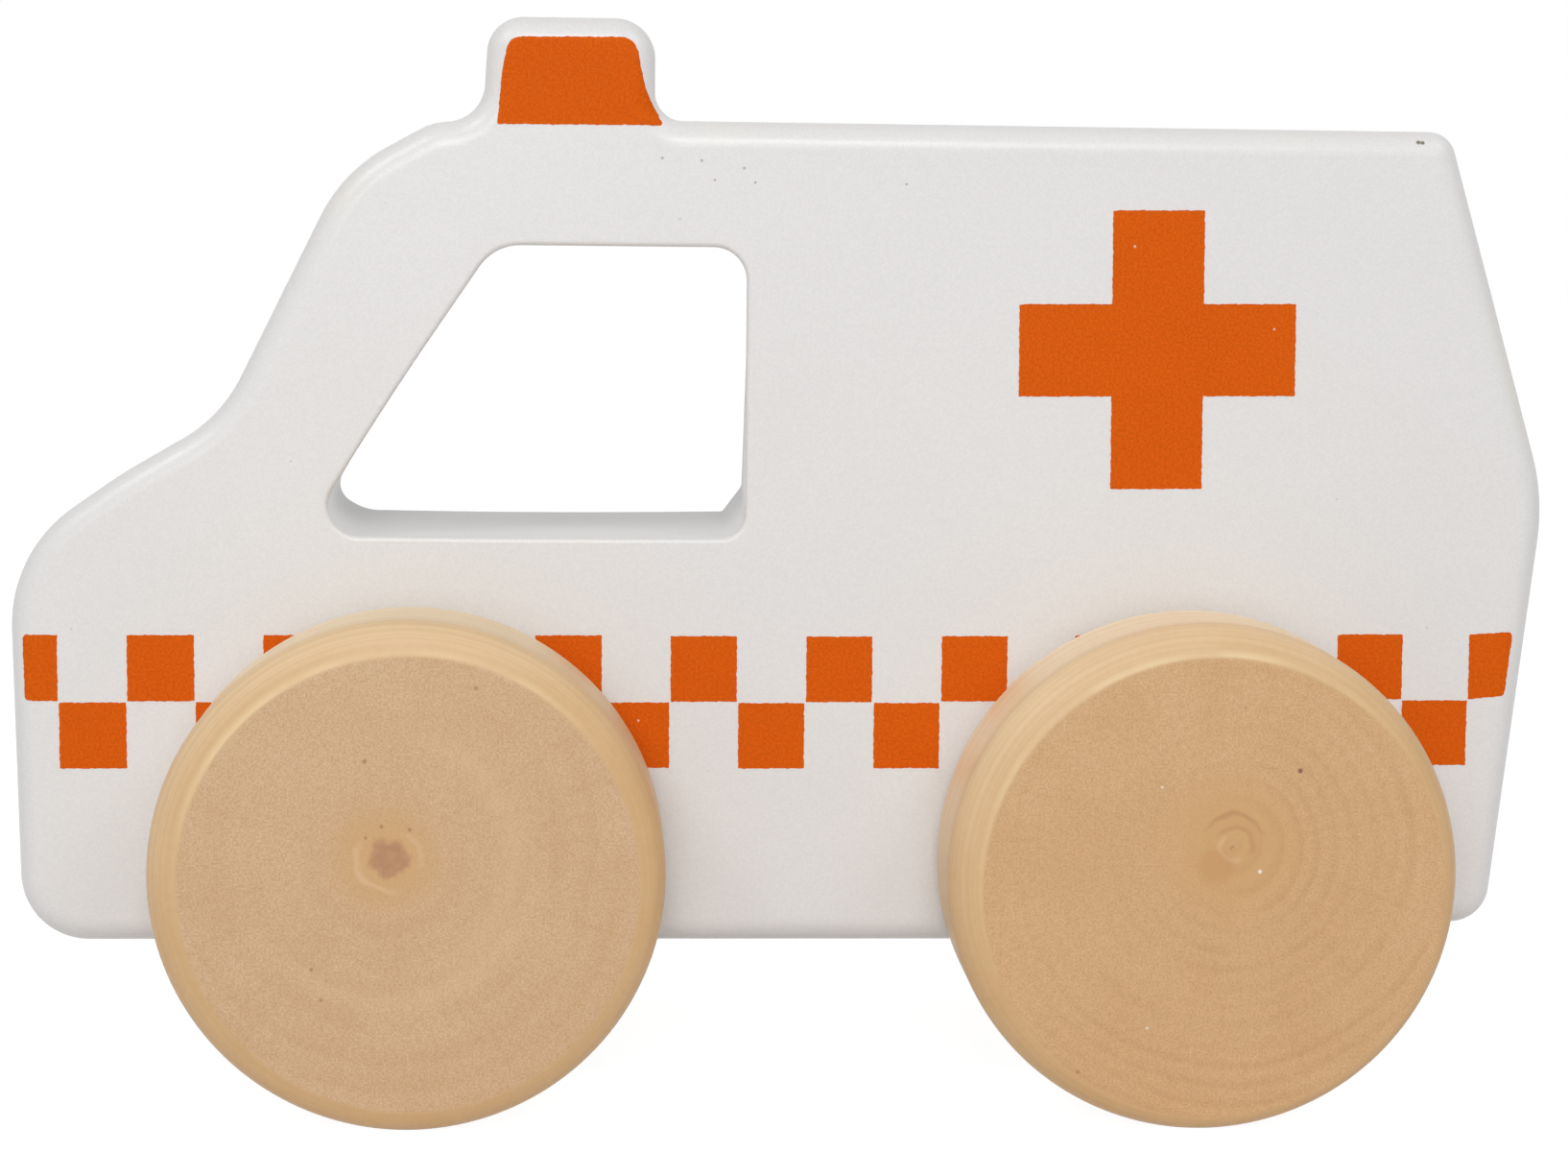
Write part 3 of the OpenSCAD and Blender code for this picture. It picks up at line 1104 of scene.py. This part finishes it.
    def face(self, places: np.ndarray, loops: Sequence[np.ndarray]) -> np.ndarray:
        """Fill a flat face between its outline and its holes with triangles.

        The triangulation keeps every outline edge; triangles whose middle lies outside the first loop or
        inside another are left out.

        Args:
            places: Places of all vertices in the plane of the board.
            loops: Vertex numbers round the outline, then round each hole.

        Returns:
            The triangles as vertex numbers.
        """
        numbers = np.concatenate(loops)
        starts = np.cumsum([0] + [len(loop) for loop in loops[:-1]])
        sides = [
            np.stack([start + np.arange(len(loop)), start + np.roll(np.arange(len(loop)), -1)], axis=1)
            for start, loop in zip(starts, loops)
        ]
        made = delaunay_2d_cdt(places[numbers].tolist(), np.concatenate(sides).tolist(), [], 0, 1e-7)
        origin = np.array([given[0] for given in made[3]])
        triangles = numbers[origin[np.array(made[2])]]
        middles = places[triangles].mean(axis=1)
        inside = [Loop(places[loop], places[loop]).holds(middles) for loop in loops]
        return triangles[inside[0] & ~np.any(inside[1:], axis=0)]


@dataclass
class Print:
    """The orange prints on one face of the board: a cross, a band of checks and the beacon panel."""

    side: Side
    shift_x: float = 0.0
    shift_z: float = 0.0
    cross_tilt: float = 0.55
    band_tilt: float = 0.24
    seed: int = 3
    cross_x: float = 37.1
    cross_z: float = 75.8
    cross_span: float = 27.8
    cross_arm: float = 9.2
    band_x: float = -71.99
    band_z: float = 40.25
    check_pitch: float = 6.742
    check_columns: int = 22
    check_gap: float = 0.12
    nose_limit: float = 1.35
    tail_limit: float = 1.75
    cut_radius: float = 0.5
    beacon_corners: tuple[Corner, ...] = (
        Corner(-28.76, 97.45, 0.15),
        Corner(-12.4, 97.5, 0.2),
        Corner(-14.24, 101.07, 9.0),
        Corner(-15.2, 106.1, 1.8),
        Corner(-27.66, 105.98, 1.5),
        Corner(-28.3, 102.4, 25.0),
    )
    thickness: float = 0.03
    sunk: float = 0.05
    ragged: float = 0.022
    ragged_pitch: float = 0.62
    ruffle_counts: tuple[float, ...] = (0.13, 0.31, 0.57, 0.83, 1.0, 1.27)
    ruffle_sizes: tuple[float, ...] = (0.5, 0.7, 0.7, 0.6, 0.6, 0.5)
    sharp_corner: float = 0.1
    arc_step: float = 15.0
    point_step: float = 0.2
    rings: int = 12
    crease: float = 60.0

    def patch(self, draft: MeshDraft, board: Board, corners: Sequence[Corner]) -> None:
        """Add one patch of ink: a thin closed skin that follows the board's face.

        The rim is the rounded outline, ruffled by sine waves along its length. Points of the top lie
        on straight lines from the middle to the rim, at the share 1 - (1 - u)^2 of each for even u, and a
        film's thickness above the face; the underside is the same, sunk a little into the paint.

        Args:
            draft: The mesh to add it to.
            board: The board that carries it.
            corners: The patch's corners, anticlockwise.
        """
        loop = Loop.rounded(corners, self.arc_step, self.point_step)
        steps = np.linalg.norm(np.roll(loop.places, -1, axis=0) - loop.places, axis=1)
        along = np.cumsum(steps) / steps.sum()
        random = np.random.default_rng(self.seed + len(draft.points))
        waves = np.round(steps.sum() / self.ragged_pitch * np.array(self.ruffle_counts))
        phases = random.uniform(0, 2 * math.pi, len(waves))
        ruffle = np.sin(2 * math.pi * along[:, None] * waves + phases) @ np.array(self.ruffle_sizes)
        rim = loop.moved_out(self.ragged * ruffle).places
        middle = np.array([(corner.x, corner.z) for corner in corners]).mean(axis=0)
        shares = 1 - (1 - np.linspace(0, 1, self.rings + 1)[1:]) ** 2
        flat = middle + shares[None, :, None] * (rim - middle)[:, None, :]
        drop = board.drop_at(flat.reshape(-1, 2)).reshape(flat.shape[:2])
        hub_drop = board.drop_at(middle[None])[0]
        flip = self.side is Side.RIGHT
        outer = []
        for lift, turned in ((self.thickness, flip), (-self.sunk, not flip)):
            depth = self.side.value * (board.half - drop + lift)
            numbers = draft.add_points(np.stack([flat[..., 0], depth, flat[..., 1]], axis=-1))
            hub_depth = self.side.value * (board.half - hub_drop + lift)
            hub = draft.add_points(np.array((middle[0], hub_depth, middle[1])))
            draft.add_grid(numbers, turned)
            draft.add_fan(numbers[:, 0], int(hub), turned)
            outer.append(numbers[:, -1])
        draft.add_grid(np.stack(outer, axis=1), flip)

    def placed(self, x: float, z: float, radius: float) -> Corner:
        """A corner with this face's shift added."""
        return Corner(x + self.shift_x, z + self.shift_z, radius)

    def cross(self, board: Board) -> MeshDraft:
        """The cross: twelve corners, arm by arm.

        Args:
            board: The board that carries it.

        Returns:
            The mesh.
        """
        middle = self.placed(self.cross_x, self.cross_z, 0)
        arm, tip = self.cross_arm / 2, self.cross_span / 2
        quarter = ((tip, -arm), (tip, arm), (arm, arm))
        corners = []
        for sine, cosine in ((0, 1), (1, 0), (0, -1), (-1, 0)):
            for x, z in quarter:
                corner = Corner(
                    middle.x + x * cosine - z * sine, middle.z + x * sine + z * cosine, self.sharp_corner
                )
                corners.append(corner.turned(self.cross_tilt, middle))
        draft = MeshDraft()
        self.patch(draft, board, corners)
        return draft

    def strayed(self, column: int) -> tuple[float, float]:
        """How far a check stands off the even pitch, as the printing screen stretched.

        Two humps along the band: a bell about the fourteenth column that carries the squares back, and one
        about the eleventh that lowers them, with a slow rise towards the tail.

        Args:
            column: Number of the check.

        Returns:
            The offsets along the band and up.
        """
        back = 0.33 * math.exp(-(((column - 13.8) / 3.4) ** 2)) - 0.08
        lift = 0.05 - 0.15 * math.exp(-(((column - 11) / 3) ** 2)) + 0.08 * ease(np.array(column), 15, 19)
        return back, float(lift)

    def checks(self, board: Board) -> MeshDraft:
        """The band of checks: two rows of squares that alternate, cut short near the board's edges.

        Args:
            board: The board that carries them.

        Returns:
            The mesh.
        """
        middle = self.placed(0, self.band_z, 0)
        side = self.check_pitch - self.check_gap
        draft = MeshDraft()
        for column in range(-1, self.check_columns):
            back, lift = self.strayed(column)
            low_x = self.band_x + column * self.check_pitch + self.check_gap / 2 + back
            low_z = self.band_z + self.check_gap / 2 - (column % 2 == 0) * self.check_pitch + lift
            limit = self.nose_limit if column < self.check_columns / 2 else self.tail_limit
            square = ((0, 0), (side, 0), (side, side), (0, side))
            corners = [self.placed(low_x + x, low_z + z, self.sharp_corner) for x, z in square]
            turned = [corner.turned(self.band_tilt, middle) for corner in corners]
            self.patch(draft, board, [board.kept_in(corner, limit, self.cut_radius) for corner in turned])
        return draft

    def beacon(self, board: Board) -> MeshDraft:
        """The beacon panel, narrower at the top, with a hollow rear flank.

        Args:
            board: The board that carries it.

        Returns:
            The mesh.
        """
        draft = MeshDraft()
        self.patch(draft, board, [self.placed(c.x, c.z, c.radius) for c in self.beacon_corners])
        return draft

    def build(self, board: Board, material: bpy.types.Material) -> None:
        """Make the three prints and let them ride on the body.

        Args:
            board: The board that carries them.
            material: The ink.
        """
        motifs = {"cross": self.cross, "checks": self.checks, "beacon": self.beacon}
        for name, motif in motifs.items():
            piece = motif(board).build(f"{self.side.name.lower()}_{name}_print", material, self.crease)
            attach(piece, "body")


@dataclass
class Wheel:
    """A wheel turned from a branch slice, with a blind hole for its dowel."""

    node: str
    body: str
    side: Side
    wood: BranchWood
    flat: FlatFace
    tip_round: float = 2.7
    inner_round: float = 2.5
    crease_angle: float = 19.0
    crease_bevel: float = 0.2
    socket_radius: float = 4.0
    socket_depth: float = 11.0
    arc_steps: int = 14
    slope_steps: int = 4
    face_rings: int = 10
    back_rings: int = 5
    sides: int = 160
    crease: float = 30.0

    def profile(self, radius: float, thickness: float) -> np.ndarray:
        """The half section from the hub of the outer face, round the rim, to the bottom of the hole.

        The inner rim is a quarter circle. The outer rim leaves the flat face at the crease angle, with a tiny
        bevel across the crease, and a smaller circle rounds it into the rim: at angle t from the axis a point
        of that circle lies r * sin t out from its centre and r * cos t along the axis.

        Args:
            radius: Radius of the wheel.
            thickness: Thickness of the wheel.

        Returns:
            Rows of distance from the axis and distance out from the inner face.
        """
        shares = np.linspace(0, 1, self.arc_steps + 1)
        start = math.radians(self.crease_angle)
        outer_turn = start + (math.pi / 2 - start) * shares
        inner_turn = math.pi / 2 * shares
        slope_end = radius - self.tip_round * (1 - math.sin(start))
        slope_x = np.linspace(self.flat.radius + self.crease_bevel, slope_end, self.slope_steps + 1)[:-1]
        slope_y = thickness - (slope_x - self.flat.radius) * math.tan(start)
        tip_y = thickness - (slope_end - self.flat.radius) * math.tan(start)
        outer_x = np.concatenate([slope_x, radius - self.tip_round * (1 - np.sin(outer_turn))])
        outer_y = np.concatenate([slope_y, tip_y - self.tip_round * (math.cos(start) - np.cos(outer_turn))])
        inner_x = radius - self.inner_round + self.inner_round * np.cos(inner_turn)
        inner_y = self.inner_round - self.inner_round * np.sin(inner_turn)
        flat_end = self.flat.radius - self.crease_bevel
        rings = np.linspace(1 / self.face_rings, 1, self.face_rings)
        face = np.concatenate([rings * (flat_end - self.crease_bevel), [flat_end]])
        rings = np.linspace(1, 0, self.back_rings + 1)
        back = rings * (inner_x[-1] - self.socket_radius) + self.socket_radius
        hole = np.array((1.0, 0.5)) * self.socket_radius
        return np.concatenate([
            np.stack([face, np.full_like(face, thickness)], axis=1),
            np.stack([outer_x, outer_y], axis=1),
            np.stack([inner_x, inner_y], axis=1),
            np.stack([back, np.zeros_like(back)], axis=1)[1:],
            np.stack([hole, np.full_like(hole, self.socket_depth)], axis=1),
        ])

    def build(self) -> bpy.types.Object:
        """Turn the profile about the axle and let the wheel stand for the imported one.

        A point of the profile at distance r goes to (x + r cos a, y, z + r sin a). On the outer half the flat
        is shifted off the axle, and the shift fades out in proportion towards the rim.

        Returns:
            The wheel.
        """
        low, high = (np.array(corner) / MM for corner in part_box(self.node))
        x, _, z = (low + high) / 2
        inner_face = low[1] if self.side is Side.RIGHT else high[1]
        outer_face = high[1] if self.side is Side.RIGHT else low[1]
        radius, thickness = (high[0] - low[0]) / 2, high[1] - low[1]
        profile = self.profile(radius, thickness)
        share = np.clip((radius - profile[:, 0]) / (radius - self.flat.radius), 0, 1)
        share = np.where(profile[:, 1] > thickness / 2, share, 0)
        share[-2:] = 0
        angles = np.linspace(0, 2 * math.pi, self.sides, endpoint=False)[:, None]
        across = inner_face + self.side.value * profile[:, 1]
        grid = np.stack(
            np.broadcast_arrays(
                x + profile[:, 0] * np.cos(angles) + share * self.flat.x,
                across,
                z + profile[:, 0] * np.sin(angles) + share * self.flat.z,
            ),
            axis=-1,
        )
        draft = MeshDraft()
        flip = self.side is Side.RIGHT
        numbers = draft.add_points(grid)
        hubs = draft.add_points(np.array([(x + self.flat.x, across[0], z + self.flat.z), (x, across[-1], z)]))
        draft.add_grid(numbers, flip)
        draft.add_fan(numbers[:, 0], int(hubs[0]), flip)
        draft.add_fan(numbers[:, -1], int(hubs[1]), not flip)
        material = self.wood.material(x, outer_face, z, self.flat)
        wheel = draft.build(f"turned_{self.node}", material, self.crease)
        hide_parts(self.node)
        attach(wheel, self.body)
        return wheel


# Studio


@dataclass(frozen=True)
class Lamp:
    """A square soft box, aimed at the middle of the toy."""

    name: str
    place: Triple
    size: float
    watts: float


@dataclass
class Studio:
    """Camera, white sweep and soft boxes."""

    camera_place: Triple = (-19.418, -364.679, 89.915)
    camera_yaw: float = 0.0552
    camera_pitch: float = 0.1049
    camera_roll: float = 0.0109
    focal_pixels: float = 3679.05
    frame_pixels: int = 1634
    sensor: float = 36.0
    target: Triple = (0.0, 0.0, 50.0)
    ambient: float = 0.33
    floor_size: float = 6000.0
    floor_colour: Colour = srgb(232, 232, 232)
    floor_seen: Colour = (0.25, 0.25, 0.25, 1.0)
    floor_glow: float = 0.94
    lamps: tuple[Lamp, ...] = (
        Lamp("front_box", (0, -950, 600), 350, 2.8),
        Lamp("fill_box", (-150, -1000, 350), 300, 1.5),
        Lamp("left_box", (-650, -500, 900), 350, 2.4),
        Lamp("right_box", (650, -500, 900), 350, 1.7),
    )

    def camera(self) -> None:
        """Set up the camera at the photograph's place and angle.

        It looks along (sin yaw cos pitch, cos yaw cos pitch, -sin pitch), then rolls about that line.
        """
        yaw, pitch, roll = self.camera_yaw, self.camera_pitch, self.camera_roll
        ahead = np.array((math.sin(yaw) * math.cos(pitch), math.cos(yaw) * math.cos(pitch), -math.sin(pitch)))
        level = np.array((math.cos(yaw), -math.sin(yaw), 0.0))
        upright = np.cross(level, ahead)
        right = level * math.cos(roll) + upright * math.sin(roll)
        up = upright * math.cos(roll) - level * math.sin(roll)
        data = bpy.data.cameras.new("camera")
        data.sensor_fit = "HORIZONTAL"
        data.sensor_width = self.sensor
        data.lens = self.focal_pixels / self.frame_pixels * self.sensor
        data.clip_start = 0.01
        camera = bpy.data.objects.new("camera", data)
        turn = np.eye(4)
        turn[:3, :3] = np.stack([right, up, -ahead], axis=1)
        turn[:3, 3] = np.array(self.camera_place) * MM
        camera.matrix_world = Matrix(turn.tolist())
        bpy.context.scene.collection.objects.link(camera)
        bpy.context.scene.camera = camera

    def seen(self, shader: Shader) -> Value:
        """Pick the rays that show the backdrop: from the camera, off a gloss or through glass.

        Args:
            shader: The shader of the floor or the room.

        Returns:
            1 for such rays, else 0.
        """
        kinds = ("Is Camera Ray", "Is Glossy Ray", "Is Transmission Ray")
        camera, glossy, through = (shader.node("ShaderNodeLightPath", output=kind) for kind in kinds)
        return camera.larger(glossy).larger(through)

    def floor(self) -> None:
        """Lay the white floor, which keeps the toy's soft shadow."""
        half = self.floor_size / 2
        corners = np.array([(-half, -half, 0), (half, -half, 0), (half, half, 0), (-half, half, 0)]) * MM
        mesh = bpy.data.meshes.new("floor")
        mesh.from_pydata(corners, [], [(0, 1, 2, 3)])
        shader = Shader(bpy.data.materials.new("white_floor"))
        matt = shader.node("ShaderNodeBsdfDiffuse", None, {"Color": self.floor_colour})
        shown = shader.node("ShaderNodeBsdfDiffuse", None, {"Color": self.floor_seen})
        glow = shader.node("ShaderNodeEmission", None, {"Strength": self.floor_glow})
        lifted = shader.node("ShaderNodeAddShader", None, {0: shown, 1: glow})
        shader.output(shader.node("ShaderNodeMixShader", None, {0: self.seen(shader), 1: matt, 2: lifted}))
        mesh.materials.append(shader.owner)
        floor = bpy.data.objects.new("floor", mesh)
        bpy.context.scene.collection.objects.link(floor)

    def world(self) -> None:
        """Surround the toy with even white light; the backdrop itself shows as white."""
        scene = bpy.context.scene
        scene.world = bpy.data.worlds.new("white_room")
        shader = Shader(scene.world)
        light = shader.node("ShaderNodeBackground", None, {"Color": (1, 1, 1, 1), "Strength": self.ambient})
        white = shader.node("ShaderNodeBackground", None, {"Color": (1, 1, 1, 1), "Strength": 1.0})
        shader.output(shader.node("ShaderNodeMixShader", None, {0: self.seen(shader), 1: light, 2: white}))
        scene.view_settings.view_transform = "Standard"

    def light(self) -> None:
        """Hang the soft boxes."""
        for lamp in self.lamps:
            data = bpy.data.lights.new(lamp.name, "AREA")
            data.size = lamp.size * MM
            data.energy = lamp.watts
            box = bpy.data.objects.new(lamp.name, data)
            box.location = np.array(lamp.place) * MM
            towards = Vector(np.array(self.target) * MM) - box.location
            box.rotation_euler = towards.to_track_quat("-Z", "Y").to_euler()
            bpy.context.scene.collection.objects.link(box)

    def build(self) -> None:
        """Set the whole studio up."""
        self.camera()
        self.world()
        self.floor()
        self.light()


PALE = srgb(222, 188, 148)
BROWN = srgb(180, 132, 84)
CREAM = srgb(236, 226, 210)
FRONT_LEFT_WOOD = BranchWood(
    name="front_left_branch_wood",
    pith=(-1.6, 2.3),
    seed=1.7,
    face=srgb(213, 179, 140),
    face_pale=srgb(218, 185, 149),
    ring_pitch=3.1,
    ring_strength=0.14,
    ring_angle=-60.0,
    heart_radius=7.5,
    star_radius=1.9,
    arcs=(
        RingArc(3.2, 0.6, 215.0, 0.1, 0.5, PALE),
        RingArc(3.0, 0.5, 20.0, 0.6, 0.35, PALE),
        RingArc(12.0, 2.2, 10.0, 0.0, 0.22, PALE),
        RingArc(14.0, 1.8, -75.0, 0.3, 0.22, PALE),
    ),
    marks=(
        Mark(-22.6, 2.9, 0.24),
        Mark(6.7, 18.7, 0.24, 0.6),
        Mark(18.2, 14.9, 0.2),
        Mark(-3.9, 11.6, 0.22),
        Mark(-9.0, -8.6, 0.18),
        Mark(-8.1, -11.6, 0.2, 0.7),
        Mark(-7.6, -9.7, 0.15, 0.5),
        Mark(-2.3, 5.3, 0.2, 0.7),
        Mark(0.4, 5.0, 0.22, 0.7),
        Mark(-3.8, 4.2, 0.18, 0.7),
    ),
)
REAR_LEFT_WOOD = BranchWood(
    name="rear_left_branch_wood",
    pith=(2.6, 3.4),
    seed=4.3,
    face=srgb(214, 173, 125),
    face_pale=srgb(219, 179, 133),
    ring_pitch=1.9,
    ring_strength=0.28,
    ring_angle=-35.0,
    heart_radius=9.0,
    star_radius=0.2,
    arcs=(
        RingArc(3.2, 0.45, 85.0, 0.2, 0.6, BROWN),
        RingArc(1.8, 0.4, 60.0, -0.2, 0.45, BROWN),
        RingArc(1.25, 0.4, 215.0, -0.2, 0.5, PALE),
    ),
    marks=(
        Mark(8.9, 10.89, 0.26, 0.9, srgb(120, 70, 48)),
        Mark(-12.2, -18.8, 0.24, 0.6),
        Mark(3.4, 17.0, 0.12, 0.6),
        Mark(1.0, 1.6, 1.9, 0.45, srgb(196, 140, 88)),
        Mark(5.21, 0.98, 0.2, 0.9, srgb(244, 240, 234)),
        Mark(-4.55, 9.26, 0.16, 0.7, CREAM),
        Mark(-5.53, -14.48, 0.16, 0.7, CREAM),
    ),
)
FRONT_RIGHT_WOOD = BranchWood(
    name="front_right_branch_wood",
    pith=(3.1, -1.4),
    seed=7.9,
    face=srgb(213, 176, 133),
    face_pale=srgb(217, 181, 141),
    ring_pitch=3.0,
    ring_strength=0.26,
    ring_angle=150.0,
    heart_radius=8.0,
    star_radius=1.1,
    arcs=(RingArc(3.4, 0.5, 120.0, 0.1, 0.6, BROWN), RingArc(11.0, 1.6, -40.0, 0.1, 0.5, PALE)),
    marks=(Mark(-9.5, 7.2, 0.24), Mark(12.4, 11.0, 0.2, 0.7), Mark(5.2, -15.3, 0.22)),
)
REAR_RIGHT_WOOD = BranchWood(
    name="rear_right_branch_wood",
    pith=(-2.2, -2.9),
    seed=11.2,
    face=srgb(212, 175, 131),
    face_pale=srgb(217, 181, 140),
    ring_pitch=2.7,
    ring_strength=0.3,
    ring_angle=30.0,
    heart_radius=8.0,
    star_radius=1.5,
    arcs=(RingArc(3.1, 0.5, 60.0, 0.1, 0.6, PALE), RingArc(9.0, 1.5, 200.0, 0.1, 0.5, PALE)),
    marks=(Mark(14.1, -6.6, 0.22), Mark(-6.0, 15.8, 0.26, 0.7), Mark(-16.2, -4.4, 0.18)),
)


def dress_axles(material: bpy.types.Material) -> None:
    """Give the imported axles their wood.

    Args:
        material: The dowel wood.
    """
    for name in ("front_axle", "rear_axle"):
        for slot in frame["nodes"][name].material_slots:
            slot.material = material
        LOG.info("%s: packed node with %s", name, material.name)


def main() -> None:
    """Build the studio and the toy, piece by piece."""
    logging.basicConfig(level=logging.INFO, format="%(name)s: %(message)s")
    Studio().build()
    board = Board()
    board.build(SatinPaint().material())
    ink = ScreenInk().material()
    Print(Side.LEFT).build(board, ink)
    Print(Side.RIGHT, shift_x=0.3, shift_z=-0.2, cross_tilt=0.15, band_tilt=-0.1, seed=11).build(board, ink)
    wheels = (
        Wheel("front_left_wheel", "front_wheels", Side.LEFT, FRONT_LEFT_WOOD, FlatFace(22.3, 0.3, -0.5)),
        Wheel("rear_left_wheel", "rear_wheels", Side.LEFT, REAR_LEFT_WOOD, FlatFace(22.75, 0.9, -0.8)),
        Wheel("front_right_wheel", "front_wheels", Side.RIGHT, FRONT_RIGHT_WOOD, FlatFace(22.2, -0.4, 0.3)),
        Wheel("rear_right_wheel", "rear_wheels", Side.RIGHT, REAR_RIGHT_WOOD, FlatFace(22.2, 0.5, 0.4)),
    )
    for wheel in wheels:
        wheel.build()
    dress_axles(DowelWood().material())


if __name__ == "__main__":
    main()
